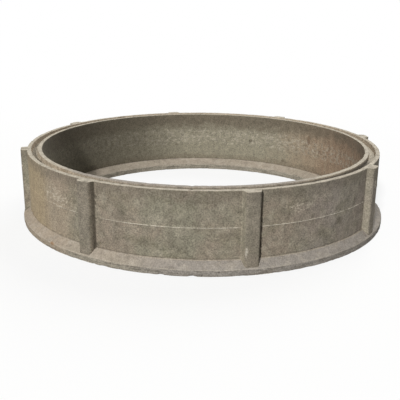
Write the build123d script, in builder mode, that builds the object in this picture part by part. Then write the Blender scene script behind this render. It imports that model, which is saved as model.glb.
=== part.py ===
from build123d import *
import os

os.makedirs("parts", exist_ok=True)

# The ring is one precast concrete casting, drawn as it stands on its foot.
# The origin is on the ring's axis, at the level of the foot's underside. All sizes are in millimetres.

# Wall: a short cylinder with a plain bore
bore_radius = 500.0
wall_thickness = 45.0
ring_height = 214.0

# Foot: a flange that stands out on both sides of the wall, with a vertical edge and a sloped top
foot_outward = 22.5
foot_inward = 30.0
foot_edge_height = 18.0
foot_height = 37.0
foot_edge_radius = 2.5

# Joint groove: an annular channel in the top of the wall that leaves a lip on each side
outer_lip_width = 13.5
inner_lip_width = 13.0
groove_depth = 14.0
groove_draft = 1.5
lip_edge_chamfer = 2.0

# Ribs: upright stiffeners on the outside, from the top of the wall down into the foot
rib_count = 8
rib_projection = 19.0
rib_root_width = 47.0
rib_tip_width = 36.5
rib_edge_radius = 7.5
rib_root_radius = 2.5

outer_radius = bore_radius + wall_thickness
foot_outer_radius = outer_radius + foot_outward
foot_inner_radius = bore_radius - foot_inward
groove_outer_radius = outer_radius - outer_lip_width
groove_inner_radius = bore_radius + inner_lip_width
groove_floor = ring_height - groove_depth
rib_flank_slope = (rib_root_width - rib_tip_width) / 2 / rib_projection
rib_start_width = rib_root_width + wall_thickness * rib_flank_slope

with BuildPart() as culvert_ring:
    # Wall and ribs rise from one plan. Each rib starts half way into the wall, and a soft root joins its flanks to it
    with BuildSketch() as plan:
        Circle(outer_radius)
        with PolarLocations(outer_radius, rib_count):
            Polygon(
                (-wall_thickness / 2, -rib_start_width / 2),
                (rib_projection, -rib_tip_width / 2),
                (rib_projection, rib_tip_width / 2),
                (-wall_thickness / 2, rib_start_width / 2),
                align=None,
            )
        fillet(plan.vertices().group_by(SortBy.DISTANCE)[-1], rib_edge_radius)
        fillet(plan.vertices().group_by(SortBy.DISTANCE)[0], rib_root_radius)
        Circle(bore_radius, mode=Mode.SUBTRACT)
    extrude(amount=ring_height)

    # The groove is turned out of the top of the wall, a little narrower at its floor
    with BuildSketch(Plane.XZ):
        with BuildLine():
            Polyline(
                (groove_inner_radius, ring_height),
                (groove_inner_radius + groove_draft, groove_floor),
                (groove_outer_radius - groove_draft, groove_floor),
                (groove_outer_radius, ring_height),
                close=True,
            )
        make_face()
    revolve(axis=Axis.Z, mode=Mode.SUBTRACT)

    # A small chamfer breaks the arrises of both lips and of the ribs' tops
    lip_tops = culvert_ring.faces().group_by(Axis.Z)[-1]
    chamfer(lip_tops.edges(), lip_edge_chamfer)

    # The foot is turned about the same axis, and the ribs die into its sloped top
    with BuildSketch(Plane.XZ) as foot:
        with BuildLine():
            Polyline(
                (foot_inner_radius, 0),
                (foot_outer_radius, 0),
                (foot_outer_radius, foot_edge_height),
                (outer_radius, foot_height),
                (bore_radius, foot_height),
                (foot_inner_radius, foot_edge_height),
                close=True,
            )
        make_face()
        fillet(foot.vertices().group_by(Axis.Y)[1], foot_edge_radius)
    revolve(axis=Axis.Z)

culvert_ring.part.label = "culvert_ring"
export_step(culvert_ring.part, "parts/culvert_ring.step")
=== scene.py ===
import math

import bpy
from mathutils import Matrix, Vector, kdtree, noise


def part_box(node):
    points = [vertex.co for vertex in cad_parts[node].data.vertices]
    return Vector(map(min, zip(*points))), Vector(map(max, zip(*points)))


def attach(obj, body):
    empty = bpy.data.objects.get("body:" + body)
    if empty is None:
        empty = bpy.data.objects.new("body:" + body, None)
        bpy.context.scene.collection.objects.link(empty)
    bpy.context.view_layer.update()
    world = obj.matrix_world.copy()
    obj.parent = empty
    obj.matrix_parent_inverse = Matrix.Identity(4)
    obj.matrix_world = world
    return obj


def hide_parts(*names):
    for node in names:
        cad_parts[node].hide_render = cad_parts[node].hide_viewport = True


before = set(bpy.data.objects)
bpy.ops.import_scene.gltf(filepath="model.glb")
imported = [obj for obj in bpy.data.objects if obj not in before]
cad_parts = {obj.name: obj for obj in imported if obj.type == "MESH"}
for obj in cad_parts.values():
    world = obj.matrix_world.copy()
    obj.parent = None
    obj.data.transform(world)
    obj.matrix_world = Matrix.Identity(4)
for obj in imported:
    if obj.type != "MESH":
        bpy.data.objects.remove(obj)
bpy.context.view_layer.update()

# Camera: the photograph's view, found by fitting the ring's circles and rib corners to the picture.
# It stands in front of the ring and to the left of one rib, and looks down a little.
photo_pixels = 400
focal_pixels = 632.0
camera_sensor = 36.0
camera_azimuth = math.radians(-102.62)
camera_distance = 1.9799
camera_height = 0.6458
camera_tilt = math.radians(17.599)
camera_pan = math.radians(-0.253)
camera_roll = math.radians(-0.622)

toward_ring = camera_azimuth + math.pi - camera_pan
level_aim = Vector((math.cos(toward_ring), math.sin(toward_ring), 0))
level_right = Vector((math.sin(toward_ring), -math.cos(toward_ring), 0))
aim = math.cos(camera_tilt) * level_aim - math.sin(camera_tilt) * Vector((0, 0, 1))
upward = math.sin(camera_tilt) * level_aim + math.cos(camera_tilt) * Vector((0, 0, 1))
right = math.cos(camera_roll) * level_right - math.sin(camera_roll) * upward
upward = math.sin(camera_roll) * level_right + math.cos(camera_roll) * upward

camera_data = bpy.data.cameras.new("camera")
camera_data.sensor_width = camera_sensor
camera_data.lens = focal_pixels / photo_pixels * camera_sensor
camera = bpy.data.objects.new("camera", camera_data)
camera.matrix_world = Matrix((
    (right.x, upward.x, -aim.x, camera_distance * math.cos(camera_azimuth)),
    (right.y, upward.y, -aim.y, camera_distance * math.sin(camera_azimuth)),
    (right.z, upward.z, -aim.z, camera_height),
    (0, 0, 0, 1),
))
bpy.context.scene.collection.objects.link(camera)
bpy.context.scene.camera = camera
bpy.context.scene.view_settings.view_transform = "Standard"

# Culvert ring: one dry precast concrete casting, struck from a steel mould that closes on a seam half way up.
# Its section is drawn once and spun about the ring's axis, and the ribs are then pulled out of the wall.
# Handling has knocked the arrises, most of all along the foot.
ring_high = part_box("culvert_ring")[1]
ring_height = ring_high.z
foot_outer_radius = ring_high.x
bore_radius = 0.500
outer_radius = 0.545
foot_inner_radius = 0.470
foot_edge_height = 0.018
foot_height = 0.037
groove_outer_radius = 0.5315
groove_inner_radius = 0.513
groove_floor = 0.200
groove_draft = 0.0015
seam_height = 0.1190
seam_projection = 0.0007
seam_half_width = 0.0012

arris_steps = 3
foot_arris = 0.0025
base_arris = 0.0015
lip_arris = 0.0016

# Each corner of the section: its radius, its height, how far it is rounded, the rows up to the next corner,
# and the surface of the casting that those rows lie on
section_corners = [
    (foot_outer_radius, 0.0, base_arris, 6, "foot_edge"),
    (foot_outer_radius, foot_edge_height, foot_arris, 6, "foot_top"),
    (outer_radius, foot_height, 0.0, 16, "wall"),
    (outer_radius, seam_height - 2 * seam_half_width, 0.0, 1, "wall"),
    (outer_radius, seam_height - seam_half_width, 0.0, 1, "wall"),
    (outer_radius + seam_projection, seam_height, 0.0, 1, "wall"),
    (outer_radius, seam_height + seam_half_width, 0.0, 16, "wall"),
    (outer_radius, ring_height, lip_arris, 3, "lip"),
    (groove_outer_radius, ring_height, lip_arris, 2, "groove_side"),
    (groove_outer_radius - groove_draft, groove_floor, 0.0, 3, "groove_bed"),
    (groove_inner_radius + groove_draft, groove_floor, 0.0, 2, "groove_side"),
    (groove_inner_radius, ring_height, lip_arris, 2, "lip"),
    (bore_radius, ring_height, lip_arris, 27, "bore"),
    (bore_radius, foot_height, 0.0, 7, "foot_top"),
    (foot_inner_radius, foot_edge_height, foot_arris, 5, "foot_edge"),
    (foot_inner_radius, 0.0, base_arris, 4, "underside"),
]
section = []
row_surfaces = []
for index, (radius, height, rounding, rows, surface) in enumerate(section_corners):
    corner = Vector((radius, height))
    before = Vector(section_corners[index - 1][:2])
    after = section_corners[(index + 1) % len(section_corners)]
    arc_start = corner + (before - corner).normalized() * rounding
    arc_end = corner + (Vector(after[:2]) - corner).normalized() * rounding
    for step in range(arris_steps + 1 if rounding else 1):
        t = step / arris_steps
        section.append((1 - t) ** 2 * arc_start + 2 * t * (1 - t) * corner + t ** 2 * arc_end)
    run_start = section[-1].copy()
    run_end = Vector(after[:2]) + (corner - Vector(after[:2])).normalized() * after[2]
    for row in range(1, rows):
        section.append(run_start.lerp(run_end, row / rows))
    row_surfaces += [surface] * (len(section) - len(row_surfaces))

# The section is drawn as a line of vertices in the plane of the first rib's middle
merge_distance = 0.00005
bpy.ops.object.select_all(action="DESELECT")
bpy.ops.mesh.primitive_plane_add(size=0.001, location=(section[0].x, 0, section[0].y))
ring = bpy.context.object
ring.name = "culvert_ring_casting"
bpy.ops.object.transform_apply(location=True, rotation=True, scale=True)
bpy.ops.object.mode_set(mode="EDIT")
bpy.ops.mesh.merge(type="CENTER")
for start, end in zip(section, section[1:] + section[:1]):
    step = (end.x - start.x, 0, end.y - start.y)
    bpy.ops.mesh.extrude_region_move(TRANSFORM_OT_translate={"value": step})
bpy.ops.mesh.select_all(action="SELECT")
bpy.ops.mesh.remove_doubles(threshold=merge_distance)

# One rib pitch is spun in stretches, in fine steps round a rib's arris, flank and root and in wider ones along the
# wall, and copies of it then close the ring. Each stretch is in degrees, with its steps.
rib_count = 8
rib_pitch = math.tau / rib_count
half_rib_stretches = [(1.27, 2), (0.76, 6), (0.40, 4), (0.25, 3)]
half_rib_angle = math.radians(sum(degrees for degrees, steps in half_rib_stretches))
wall_stretch = (math.degrees(rib_pitch - 2 * half_rib_angle), 62)
for degrees, steps in half_rib_stretches + [wall_stretch] + half_rib_stretches[::-1]:
    bpy.ops.mesh.spin(steps=steps, angle=math.radians(degrees), center=(0, 0, 0), axis=(0, 0, 1))
bpy.ops.mesh.select_all(action="SELECT")
bpy.ops.mesh.spin(steps=rib_count - 1, angle=math.tau - rib_pitch, dupli=True, center=(0, 0, 0), axis=(0, 0, 1))
bpy.ops.mesh.select_all(action="SELECT")
bpy.ops.mesh.remove_doubles(threshold=merge_distance)
bpy.ops.mesh.normals_make_consistent(inside=False)
bpy.ops.object.mode_set(mode="OBJECT")

# Every face keeps the name of the surface that its row of the section lies on
row_middles = kdtree.KDTree(len(section))
for index, (start, end) in enumerate(zip(section, section[1:] + section[:1])):
    row_middles.insert(((start.x + end.x) / 2, (start.y + end.y) / 2, 0), index)
row_middles.balance()
face_surfaces = []
for polygon in ring.data.polygons:
    x, y, z = polygon.center
    face_surfaces.append(row_surfaces[row_middles.find((math.hypot(x, y), z, 0))[1]])
for surface in sorted(set(row_surfaces)):
    on_surface = [float(face_surface == surface) for face_surface in face_surfaces]
    ring.data.attributes.new(surface, "FLOAT", "FACE").data.foreach_set("value", on_surface)

# A rib in plan: a flat tip, round arrises, flanks with the draft that frees them from the mould, and soft roots
rib_projection = 0.019
rib_root_half_width = 0.0235
rib_tip_half_width = 0.01825
rib_arris_radius = 0.0075
rib_root_radius = 0.0025
tip_radius = outer_radius + rib_projection
flank_slope = (rib_root_half_width - rib_tip_half_width) / rib_projection
flank_draft = math.atan(flank_slope)
flank_normal = Vector((math.sin(flank_draft), math.cos(flank_draft)))
flank_offset = flank_normal.dot(Vector((tip_radius, rib_tip_half_width)))
arris_cut = rib_arris_radius * math.tan((math.pi / 2 - flank_draft) / 2)
arris_centre = Vector((tip_radius - rib_arris_radius, rib_tip_half_width - arris_cut))
root_turn = math.asin((flank_offset + rib_root_radius) / (outer_radius + rib_root_radius)) - flank_draft
root_centre = (outer_radius + rib_root_radius) * Vector((math.cos(root_turn), math.sin(root_turn)))
arris_end = arris_centre + rib_arris_radius * flank_normal
root_end = root_centre - rib_root_radius * flank_normal
arris_from = math.atan2(arris_centre.y, tip_radius)
flank_from = math.atan2(arris_end.y, arris_end.x)
root_from = math.atan2(root_end.y, root_end.x)


def off_rib_middle(x, y):
    """Angle between a place and the middle of the nearest rib."""
    return abs((math.atan2(y, x) + rib_pitch / 2) % rib_pitch - rib_pitch / 2)


def wall_reach(off_rib):
    """Radius of the ring's outside at an angle from the middle of the nearest rib."""
    ray = Vector((math.cos(off_rib), math.sin(off_rib)))
    if off_rib >= root_turn:
        return outer_radius
    if off_rib >= root_from:
        along = ray.dot(root_centre)
        return along - math.sqrt(along ** 2 - root_centre.length_squared + rib_root_radius ** 2)
    if off_rib >= flank_from:
        return flank_offset / ray.dot(flank_normal)
    if off_rib >= arris_from:
        along = ray.dot(arris_centre)
        return along + math.sqrt(along ** 2 - arris_centre.length_squared + rib_arris_radius ** 2)
    return tip_radius / ray.x


# The wall's outer face is pulled out to the ribs, whose feet die into the slope of the ring's foot.
# The distance of each vertex from the nearest arris is kept, because arrises are what handling knocks and rubs.
tolerance = 1e-6
slope_start_radius = foot_outer_radius - foot_arris
lip_middle_radius = (groove_outer_radius + outer_radius) / 2
foot_slope = (foot_height - foot_edge_height) / (foot_outer_radius - outer_radius)
section_arrises = [(radius, height) for radius, height, rounding, rows, surface in section_corners if rounding]
arris_gaps = []
for vertex in ring.data.vertices:
    x, y, z = vertex.co
    radius = math.hypot(x, y)
    arris_gaps.append(min(math.hypot(radius - arris_radius, z - height) for arris_radius, height in section_arrises))
    reach = wall_reach(off_rib_middle(x, y))
    if reach - outer_radius < tolerance or radius < lip_middle_radius or z < foot_edge_height:
        continue
    new_radius, new_z = radius, z
    on_slope = z < foot_height - tolerance
    if on_slope and radius < slope_start_radius:
        share = (slope_start_radius - radius) / (slope_start_radius - outer_radius)
        new_radius = slope_start_radius + share * (reach - slope_start_radius)
        new_z = foot_edge_height + (foot_outer_radius - new_radius) * foot_slope
    elif not on_slope and radius >= outer_radius - lip_arris - tolerance:
        new_radius = reach + min(radius - outer_radius, 0)
        if z < ring_height - lip_arris - tolerance:
            rib_foot = foot_edge_height + (foot_outer_radius - reach) * foot_slope
            share = (ring_height - z) / (ring_height - foot_height)
            new_z = ring_height - share * (ring_height - rib_foot)
    elif not on_slope:
        share = (radius - lip_middle_radius) / (outer_radius - lip_arris - lip_middle_radius)
        new_radius = radius + share * (reach - outer_radius)
    vertex.co = (x * new_radius / radius, y * new_radius / radius, new_z)
ring.data.update()

# The cast skin is never quite true. It waves and is gritty, the foot's upright edges show the layers in which the
# mix was tamped, and the arrises are chipped. Every move goes into the concrete, so the ring keeps its size.
wave_depth, wave_length = 0.0003, 0.090
grit_depth, grit_length = 0.0002, 0.012
layer_depth, layer_length, layer_thickness = 0.0016, 0.045, 0.0050
layers_end, upright_limit = foot_edge_height + 0.002, 0.8
foot_chip_depth, lip_chip_depth, chip_length, chip_reach = 0.0030, 0.0018, 0.018, 0.005
chip_seed, chip_start = Vector((3, 5, 7)), 0.08
knock_reach = 0.010
# Knocks that are large enough to see one by one: degrees round the ring, height, width and depth
knocks = [
    (-112.9, 0.000, 0.006, 0.0050),
    (-105.0, 0.000, 0.007, 0.0055),
    (-105.7, 0.214, 0.004, 0.0025),
    (-169.8, 0.214, 0.003, 0.0025),
    (-179.8, 0.214, 0.003, 0.0030),
    (-31.0, 0.000, 0.009, 0.0050),
    (22.0, 0.004, 0.010, 0.0050),
    (97.0, 0.018, 0.009, 0.0045),
    (141.0, 0.000, 0.008, 0.0060),
    (168.0, 0.214, 0.005, 0.0030),
]
normals = [vertex.normal.copy() for vertex in ring.data.vertices]
for vertex, normal, gap in zip(ring.data.vertices, normals, arris_gaps):
    place = vertex.co.copy()
    radius = math.hypot(place.x, place.y)
    low = place.z < layers_end
    depth = wave_depth * (1 + noise.noise(place / wave_length)) + grit_depth * (1 + noise.noise(place / grit_length))
    if low and abs(normal.z) < upright_limit:
        layer = noise.noise(Vector((place.x / layer_length, place.y / layer_length, place.z / layer_thickness)))
        depth += layer_depth * max(layer, 0)
    near_arris = max(0, 1 - gap / chip_reach)
    chip = noise.noise(place / chip_length + chip_seed) - chip_start
    depth += (foot_chip_depth if low else lip_chip_depth) * near_arris * max(chip, 0)
    for degrees, height, width, knock_depth in knocks:
        turn = math.radians(degrees)
        away = (place - Vector((math.cos(turn) * radius, math.sin(turn) * radius, height))).length
        if away < 3 * width:
            depth += knock_depth * max(0, 1 - gap / knock_reach) * math.exp(-(away / width) ** 2)
    if place.z < tolerance and near_arris == 0:
        depth = 0
    vertex.co = place - normal * depth
    vertex.co.z = max(vertex.co.z, 0)
ring.data.update()


def rise(value, start, end):
    """A share that goes smoothly from 0 to 1 while a value goes from start to end."""
    share = min(max((value - start) / (end - start), 0), 1)
    return share * share * (3 - 2 * share)


# Where weather and handling have been at work, as shares from 0 to 1 that the material reads. Degrees run round the
# ring from the first rib. The photograph sees the outside from about -180 to -30 and the bore from -20 to 170.
# The seam's line shows on these stretches: degrees from and to, and how clearly.
seam_stretches = [(-148, -138, 0.45), (-131, -124, 0.35), (-124, -113, 1.0), (-113, -93, 0.55), (-87, -48, 0.70),
                  (-43, 180, 0.50)]
seam_gap_length, seam_crumb_length, seam_crumb_share = 0.025, 0.008, 0.6
# Scuffed patches on the outside: degrees round the ring, height, half length and half height
scuffs = [(-148, 0.143, 0.130, 0.055), (-77, 0.160, 0.070, 0.035), (24, 0.110, 0.120, 0.050)]
top_rubbed_width, foot_rubbed_width = 0.0020, 0.0035
edge_margin = 0.001
regions = {}
for vertex, gap in zip(ring.data.vertices, arris_gaps):
    x, y, z = vertex.co
    radius = math.hypot(x, y)
    degrees = math.degrees(math.atan2(y, x))
    off_rib = off_rib_middle(x, y)
    left_of_rib = (math.atan2(y, x) + rib_pitch / 2) % rib_pitch < rib_pitch / 2
    reach = wall_reach(off_rib)
    pulled = reach - outer_radius
    in_bore = radius < bore_radius + 2 * edge_margin and foot_height - 2 * edge_margin < z < ring_height - edge_margin
    joint_height = foot_height if in_bore else foot_edge_height + (foot_outer_radius - reach) * foot_slope
    outside = radius > lip_middle_radius and z < ring_height - edge_margin
    on_wall = outside and z > joint_height - edge_margin
    on_flank = on_wall and pulled > tolerance
    on_seam = outside and abs(z - seam_height) < seam_half_width / 2 and pulled < tolerance
    in_groove = groove_inner_radius < radius < groove_outer_radius and z < ring_height - lip_arris
    on_inner_lip = radius < groove_inner_radius + edge_margin and z > ring_height - 3 * edge_margin

    rubbed_width = top_rubbed_width if z > foot_height else foot_rubbed_width
    seam_gaps = noise.noise(Vector((x, y, 0.4)) / seam_gap_length)
    seam_gaps += seam_crumb_share * noise.noise(Vector((x, y, 0.9)) / seam_crumb_length)
    seam_drawn = sum(share for start, end, share in seam_stretches if start <= degrees <= end)
    scuffed = 0.0
    for scuff_degrees, height, half_length, half_height in scuffs:
        along = math.radians(degrees - scuff_degrees) * outer_radius / half_length
        scuffed = max(scuffed, rise(math.hypot(along, (z - height) / half_height), 1.3, 0.0))
    # Painted shade on the flank turned away from the key light, growing towards the rib's root
    flank_shade_share = rise(off_rib, (arris_from + flank_from) / 2, root_turn) * rise(degrees, -172, -150)
    rusty = rise(degrees, 66, 5) * rise(degrees, -80, -30)

    here = {
        "rubbed": (not in_groove) * rise(gap, rubbed_width, 0.0),
        "seam_line": on_seam * seam_drawn * rise(seam_gaps, -1.1, -0.2),
        "scuffed": on_wall * scuffed,
        # A rib's face, and its two flanks: the flank toward the key light painted paler as painted light, the other
        # painted darker as painted shade
        "rib_face": on_wall * rise(pulled, 0.6 * rib_projection, rib_projection),
        "painted_lit_flank": (on_flank and left_of_rib) * rise(off_rib, arris_from, flank_from),
        "painted_shade_flank": (on_flank and not left_of_rib) * flank_shade_share,
        # The outside, by height and by the side that it faces
        # Painted shade along the crease where the wall and the bore meet the foot
        "foot_crease_shade": (on_wall or in_bore) * rise(abs(z - joint_height), 0.012, 0.0),
        "wall_top": on_wall * rise(z, 0.140, 0.212),
        "dry_bay": (on_wall and not on_flank) * rise(degrees, -142, -162),
        "warm_bay": (outside and not on_flank and degrees < 0) * rise(degrees, -130, -146),
        # Their own greyer tone, and painted light that lifts the bays away from the key light
        "grey_bays_painted_fill": on_wall * rise(degrees, -100, -70) * rise(degrees, 40, 0),
        "grey_foot": (outside and not on_wall) * rise(degrees, -145, -100),
        # The groove and the inner lip on the photograph's near side
        # Dirt and painted shade in the groove on the near side
        "groove_dirt_and_shade": in_groove * rise(degrees, -160, -105) * rise(degrees, -26, -42),
        # Painted shade: the inner lip on the near side is painted darker
        "inner_lip_painted_shade": on_inner_lip * rise(degrees, -160, -140) * rise(degrees, -58, -80),
        # The bore, by height and by side
        "bore_top": in_bore * rise(z, 0.100, 0.210) * (1 - 0.25 * rusty),
        "bore_middle": in_bore * rise(z, 0.070, 0.100) * rise(z, 0.185, 0.150),
        "bore_foot": in_bore * rise(z, 0.085, 0.040),
        "rusty_side": in_bore * rusty,
        # Painted shade on the part of the bore that its own wall shades from the key light
        "shady_side": in_bore * max(rise(degrees, 72, 120), rise(degrees, -140, -170)),
    }
    for name, share in here.items():
        regions.setdefault(name, []).append(share)
for name, region_shares in regions.items():
    ring.data.attributes.new(name, "FLOAT", "POINT").data.foreach_set("value", region_shares)

# The faces are shaded as one skin, with the sharp corners of the groove, the ribs and the foot kept
sharp_angle = math.radians(40)
for polygon in ring.data.polygons:
    polygon.use_smooth = True
bpy.ops.object.select_all(action="DESELECT")
ring.select_set(True)
bpy.context.view_layer.objects.active = ring
bpy.ops.object.shade_smooth_by_angle(angle=sharp_angle)


def linear(hex_colour):
    """Linear red, green, blue and alpha of an sRGB colour such as #8c8474."""
    channels = [int(hex_colour[i:i + 2], 16) / 255 for i in (1, 3, 5)]
    return [c / 12.92 if c <= 0.04045 else ((c + 0.055) / 1.055) ** 2.4 for c in channels] + [1]


def node(tree, kind, inputs=None, **settings):
    """Adds a node with its settings. An input is a plain value, an output, or a node, whose first output is used."""
    made = tree.nodes.new("ShaderNode" + kind)
    for name, value in settings.items():
        setattr(made, name, value)
    for name, value in (inputs or {}).items():
        socket = next(s for i, s in enumerate(made.inputs) if s.enabled and name in (i, s.name))
        if isinstance(value, bpy.types.Node):
            value = next(s for s in value.outputs if s.enabled)
        if isinstance(value, bpy.types.NodeSocket):
            tree.links.new(value, socket)
        else:
            socket.default_value = value
    return made


# Dry-cast concrete: a stiff, sandy mix rammed into a steel mould and struck at once. It gives a matt, open skin of
# grey brown, blotched where it dried unevenly, with sand grains and small voids all over it.
concrete = bpy.data.materials.new("dry_cast_concrete")
concrete.use_nodes = True
tree = concrete.node_tree
shader = tree.nodes["Principled BSDF"]
place = node(tree, "TexCoord").outputs["Object"]
share_of = {}
for name in sorted(set(row_surfaces)) + list(regions):
    share_of[name] = node(tree, "Attribute", attribute_name=name).outputs["Fac"]

# The colour of each surface. The wall's skin is grey brown, the trowelled foot and the lips are paler.
surface_colours = [
    ("bore", "#8c8674"),
    ("foot_top", "#9e9484"),
    ("foot_edge", "#948d7f"),
    ("lip", "#b6ad9c"),
    ("groove_side", "#a39683"),
    ("groove_bed", "#b3aa99"),
    ("rib_face", "#7f7869"),
]
colour = linear("#888372")
for name, surface_colour in surface_colours:
    colour = node(tree, "Mix", {"Factor": share_of[name], "A": colour, "B": linear(surface_colour)}, data_type="RGBA")

# Coats over those colours. Each lies where a region and a noise add up high enough: the region, the size of its
# patches across and upright in metres, a seed, how much the noise counts, the sums where the coat starts and where
# it is full, its strength and its colour.
coats = [
    # The wall dried in patches, with paler dust and darker damp in smaller ones, and with runs down it.
    # The bays turned away from the key light are painted greyer and lighter: partly their own greyer tone, partly
    # painted light that lifts their shade.
    ("wall", 0.140, 0.140, 0, 1.0, 1.38, 1.60, 0.9, "#8d8172"),
    ("grey_bays_painted_fill", 0.100, 0.100, 31, 0.5, 1.00, 1.40, 0.70, "#948a82"),
    ("wall", 0.090, 0.060, 3, 1.0, 1.48, 1.64, 0.45, "#78735f"),
    ("wall", 0.030, 0.024, 4, 1.0, 1.47, 1.64, 0.42, "#a09887"),
    ("wall", 0.036, 0.028, 9, 1.0, 1.50, 1.68, 0.45, "#696355"),
    ("wall", 0.022, 0.240, 12, 1.0, 1.50, 1.66, 0.30, "#70695d"),
    # The side that dries first is even and warm, and then ochre, and dirt comes down from the wall's top
    ("warm_bay", 0.060, 0.090, 23, 0.4, 0.80, 1.30, 0.70, "#a49480"),
    ("dry_bay", 0.050, 0.160, 21, 0.5, 0.55, 1.40, 0.55, "#ab9875"),
    ("wall_top", 0.030, 0.090, 14, 0.6, 0.75, 1.35, 0.55, "#70685b"),
    # A rib's face is closed and even; its one flank is painted paler as painted light and its other one darker as
    # painted shade
    ("rib_face", 0.040, 0.120, 36, 0.3, 0.50, 1.10, 0.50, "#80796c"),
    ("painted_lit_flank", 0.030, 0.060, 34, 0.5, 0.90, 1.30, 0.50, "#9b9482"),
    ("painted_shade_flank", 0.015, 0.060, 35, 0.2, 0.22, 0.97, 0.85, "#4f483d"),
    # The bore: a darker band along the top with runs, damp patches at the foot, pale flecks between them, rust brown
    # on one side
    ("rusty_side", 0.060, 0.080, 44, 0.8, 0.50, 1.40, 0.85, "#99856f"),
    ("rusty_side", 0.014, 0.140, 45, 0.9, 1.20, 1.55, 0.38, "#80634f"),
    ("bore_top", 0.050, 0.030, 41, 1.2, 1.05, 1.50, 0.75, "#6b6253"),
    ("bore_top", 0.016, 0.160, 42, 0.9, 0.75, 1.25, 0.40, "#62594c"),
    ("bore_middle", 0.014, 0.008, 47, 1.0, 1.46, 1.60, 0.55, "#aba393"),
    ("bore_middle", 0.018, 0.011, 48, 1.0, 1.54, 1.68, 0.45, "#645e50"),
    ("bore_foot", 0.040, 0.040, 43, 0.8, 0.95, 1.35, 0.40, "#6b6051"),
    # Painted shade on the part of the bore that its own wall shades from the key light
    ("shady_side", 0.080, 0.080, 46, 0.4, 0.30, 1.20, 0.62, "#575144"),
    # The foot: blotches on its trowelled top, layers and dirt on its upright edges, and painted shade in patches along
    # the crease where the wall and the bore meet it
    ("foot_top", 0.120, 0.120, 51, 1.0, 1.35, 1.65, 0.6, "#a5998b"),
    ("grey_foot", 0.100, 0.100, 54, 0.3, 0.50, 1.15, 0.80, "#8f8982"),
    ("foot_top", 0.025, 0.025, 52, 1.0, 1.50, 1.66, 0.45, "#7f766a"),
    ("foot_top", 0.030, 0.030, 55, 1.0, 1.50, 1.66, 0.45, "#b1a799"),
    ("foot_edge", 0.050, 0.0030, 53, 1.0, 1.48, 1.60, 0.50, "#5d5548"),
    ("foot_crease_shade", 0.020, 0.012, 64, 0.8, 0.95, 1.50, 0.45, "#564f43"),
    # The lips' skin of cement is patchy; the groove on the near side holds dirt and painted shade, and the inner lip
    # there is painted darker as painted shade
    ("lip", 0.030, 0.030, 61, 1.0, 1.48, 1.64, 0.50, "#8c8373"),
    ("inner_lip_painted_shade", 0.025, 0.025, 66, 0.5, 0.55, 1.25, 0.75, "#8e867d"),
    ("groove_side", 0.030, 0.030, 62, 1.0, 1.54, 1.66, 0.50, "#6b5b47"),
    ("groove_bed", 0.030, 0.030, 63, 1.0, 1.54, 1.66, 0.50, "#6d6658"),
    ("groove_dirt_and_shade", 0.040, 0.040, 65, 0.3, 0.20, 1.00, 0.90, "#615a50"),
    # Rubbed arrises, scuffs and the seam's line show clean, pale concrete
    ("rubbed", 0.012, 0.012, 71, 0.8, 0.95, 1.40, 0.65, "#b5ac9b"),
    ("scuffed", 0.010, 0.005, 73, 3.0, 2.25, 2.90, 0.75, "#c6bba8"),
    ("seam_line", 0.012, 0.012, 72, 0.1, 0.05, 0.50, 1.00, "#c9c1b0"),
]
for region, across, upright, seed, amount, start, full, strength, coat_colour in coats:
    patch_scale = (1 / across, 1 / across, 1 / upright)
    drawn = node(tree, "Mapping", {"Vector": place, "Scale": patch_scale, "Location": (seed, seed, seed)})
    patches = node(tree, "TexNoise", {"Vector": drawn, "Scale": 1, "Detail": 4, "Roughness": 0.6})
    total = node(tree, "Math", {0: patches, 1: amount, 2: share_of[region]}, operation="MULTIPLY_ADD")
    share = node(tree, "MapRange", {"Value": total, "From Min": start, "From Max": full, "To Max": strength},
                 interpolation_type="SMOOTHSTEP")
    colour = node(tree, "Mix", {"Factor": share, "A": colour, "B": linear(coat_colour)}, data_type="RGBA")

# Stains and scuffs that stand out one by one: degrees round the ring, radius, height, half width and half height,
# strength and colour. A noise draws each one's edge.
blot_length = 0.010
raggedness, mark_edge, mark_core = 1.4, 2.1, 1.2
marks = [
    (-61.3, outer_radius, 0.096, 0.016, 0.011, 0.50, "#574f43"),
    (-71.9, outer_radius, 0.129, 0.005, 0.006, 0.45, "#5c5547"),
    (-79.4, outer_radius, 0.146, 0.005, 0.005, 0.45, "#5c5547"),
    (-54.3, outer_radius, 0.136, 0.005, 0.012, 0.45, "#5c5547"),
    (-125.7, outer_radius, 0.110, 0.006, 0.006, 0.45, "#5c5547"),
    (-148.0, foot_outer_radius, 0.016, 0.010, 0.004, 0.80, "#8f6f4f"),
    (-91.6, tip_radius, 0.061, 0.004, 0.013, 0.55, "#c8c0b0"),
    (-129.3, outer_radius, 0.175, 0.006, 0.022, 0.20, "#a9a392"),
    (-131.2, outer_radius, 0.050, 0.004, 0.006, 0.45, "#5f5745"),
    (-178.0, tip_radius, 0.165, 0.004, 0.004, 0.80, "#c4baa8"),
    (-45.2, tip_radius, 0.167, 0.006, 0.012, 0.85, "#c0b6a6"),
    (55.4, bore_radius, 0.117, 0.008, 0.007, 0.65, "#52493d"),
    (26.3, bore_radius, 0.153, 0.008, 0.016, 0.55, "#5f4a3a"),
    (19.9, bore_radius, 0.120, 0.008, 0.006, 0.55, "#5f4a3a"),
    (39.4, bore_radius, 0.057, 0.007, 0.006, 0.50, "#52493d"),
    (104.4, bore_radius, 0.134, 0.007, 0.006, 0.50, "#4c463a"),
    (89.7, bore_radius, 0.095, 0.006, 0.006, 0.45, "#52493d"),
]
blots = node(tree, "TexNoise", {"Vector": place, "Scale": 1 / blot_length, "Detail": 4, "Roughness": 0.6})
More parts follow.
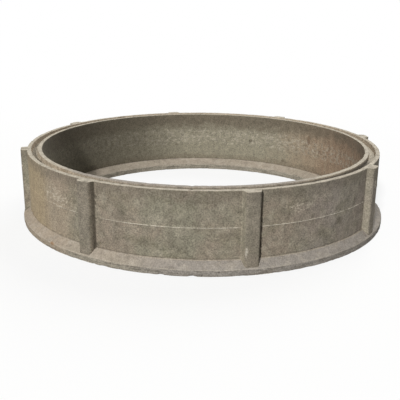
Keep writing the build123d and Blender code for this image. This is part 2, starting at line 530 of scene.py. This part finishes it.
for degrees, mark_radius, mark_height, half_width, half_height, strength, mark_colour in marks:
    turn = math.radians(degrees)
    centre = Vector((mark_radius * math.cos(turn), mark_radius * math.sin(turn), mark_height))
    scale = Vector((1 / half_width, 1 / half_width, 1 / half_height))
    offset = node(tree, "VectorMath", {0: place, 1: scale, 2: -centre * scale}, operation="MULTIPLY_ADD")
    away = node(tree, "VectorMath", {0: offset}, operation="LENGTH")
    ragged = node(tree, "Math", {0: blots, 1: raggedness, 2: away}, operation="MULTIPLY_ADD")
    share = node(tree, "MapRange", {"Value": ragged, "From Min": mark_edge, "From Max": mark_core, "To Max": strength},
                 interpolation_type="SMOOTHSTEP")
    colour = node(tree, "Mix", {"Factor": share, "A": colour, "B": linear(mark_colour)}, data_type="RGBA")

# Sand: patches and a fine grain of light and dark, with voids as dark points and a few pale grits: the size of each,
# a seed, its noise's detail and two ends, the change of shade between them and the height of its relief in metres.
# Real grains are about 1 mm, and they are drawn three times coarser so that they show. They show less where the
# trowel has closed the skin.
calm_low, calm_high = 0.35, 1.65
sands = [
    (0.0140, 7, 4, 0.25, 0.75, -0.15, 0.15, 0.00060),
    (0.0035, 0, 2, 0.25, 0.75, -0.32, 0.32, 0.00025),
    (0.0060, 11, 1, 0.70, 0.78, 0.0, -0.45, -0.00080),
    (0.0055, 13, 1, 0.71, 0.79, 0.0, 0.35, 0.00010),
]
shade = 1.0
relief_height = 0.0
for size, seed, detail, start, full, low_shade, high_shade, relief in sands:
    drawn = node(tree, "Mapping", {"Vector": place, "Scale": [1 / size] * 3, "Location": (seed, seed, seed)})
    grains = node(tree, "TexNoise", {"Vector": drawn, "Scale": 1, "Detail": detail, "Roughness": 0.6})
    share = node(tree, "MapRange", {"Value": grains, "From Min": start, "From Max": full},
                 interpolation_type="SMOOTHSTEP")
    darker = node(tree, "MapRange", {"Value": share, "To Min": low_shade, "To Max": high_shade})
    shade = node(tree, "Math", {0: shade, 1: darker}, operation="ADD")
    relief_height = node(tree, "Math", {0: share, 1: relief, 2: relief_height}, operation="MULTIPLY_ADD")
trowelled = node(tree, "Math", {0: share_of["foot_top"], 1: share_of["lip"]}, operation="MAXIMUM")
calm_shade = node(tree, "MapRange", {"Value": shade, "From Min": 0, "From Max": 2, "To Min": calm_low,
                                     "To Max": calm_high})
shade = node(tree, "Mix", {"Factor": trowelled, "A": shade, "B": calm_shade}, data_type="FLOAT")
colour = node(tree, "VectorMath", {0: colour, "Scale": shade}, operation="SCALE")
tree.links.new(colour.outputs[0], shader.inputs["Base Color"])

# The open skin is fully matt, and the trowelled top of the foot and the struck lips are a little closer
open_roughness, closed_roughness = 0.94, 0.84
sheen_level = 0.30
relief_strength = 0.8
roughness = node(tree, "MapRange", {"Value": trowelled, "To Min": open_roughness, "To Max": closed_roughness})
tree.links.new(roughness.outputs[0], shader.inputs["Roughness"])
shader.inputs["Specular IOR Level"].default_value = sheen_level
relief = node(tree, "Bump", {"Height": relief_height, "Distance": 1.0, "Strength": relief_strength})
tree.links.new(relief.outputs["Normal"], shader.inputs["Normal"])

ring.data.materials.append(concrete)
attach(ring, "root")
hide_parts("culvert_ring")

# Studio: a pale floor that runs out to white and keeps the ring's shadow, a key light from the front left, a softer
# light from behind and an even dome of white.
floor_size = 80.0
near_glow = 0.80
near_glow_ends, full_glow_starts = 0.8, 2.2
bpy.ops.object.select_all(action="DESELECT")
bpy.ops.mesh.primitive_plane_add(size=floor_size, location=(0, 0, 0))
floor = bpy.context.object
floor.name = "studio_floor"
floor_paint = bpy.data.materials.new("white_studio_floor")
floor_paint.use_nodes = True
floor.data.materials.append(floor_paint)
world = bpy.data.worlds.new("studio_world")
world.use_nodes = True
bpy.context.scene.world = world
dome_strength = 0.23

for tree in (floor_paint.node_tree, world.node_tree):
    tree.nodes.clear()
    path = node(tree, "LightPath")
    seen = path.outputs["Is Camera Ray"]
    for ray in ("Is Glossy Ray", "Is Transmission Ray"):
        seen = node(tree, "Math", {0: seen, 1: path.outputs[ray]}, operation="MAXIMUM")
    if tree == world.node_tree:
        strength = node(tree, "MapRange", {"Value": seen, "To Min": dome_strength, "To Max": 1.0})
        dome = node(tree, "Background", {"Color": (1, 1, 1, 1), "Strength": strength})
        node(tree, "OutputWorld", {"Surface": dome})
    else:
        floor_place = node(tree, "TexCoord").outputs["Object"]
        far = node(tree, "VectorMath", {0: floor_place}, operation="LENGTH")
        glow_share = node(tree, "MapRange", {"Value": far, "From Min": near_glow_ends, "From Max": full_glow_starts,
                                             "To Min": near_glow}, interpolation_type="SMOOTHSTEP")
        paint = node(tree, "BsdfDiffuse", {"Color": linear("#f4f4f2")})
        glow = node(tree, "Emission", {"Color": (1, 1, 1, 1), "Strength": seen})
        blend = node(tree, "MixShader", {0: glow_share, 1: paint, 2: glow})
        node(tree, "OutputMaterial", {"Surface": blend})

# Each lamp: azimuth, elevation and spread in degrees, and strength. At a strength of 1, a surface that faces the lamp
# shows the colour that is written for it.
lamps = {"key": (-122.3, 30.7, 5, 0.98), "back_light": (50, 38, 40, 0.52)}
for name, (azimuth, elevation, spread, strength) in lamps.items():
    azimuth, elevation = math.radians(azimuth), math.radians(elevation)
    level = math.cos(elevation)
    toward_lamp = Vector((math.cos(azimuth) * level, math.sin(azimuth) * level, math.sin(elevation)))
    lamp_data = bpy.data.lights.new(name, "SUN")
    lamp_data.angle = math.radians(spread)
    lamp_data.energy = strength * math.pi
    lamp = bpy.data.objects.new(name, lamp_data)
    lamp.rotation_euler = toward_lamp.to_track_quat("Z", "Y").to_euler()
    bpy.context.scene.collection.objects.link(lamp)
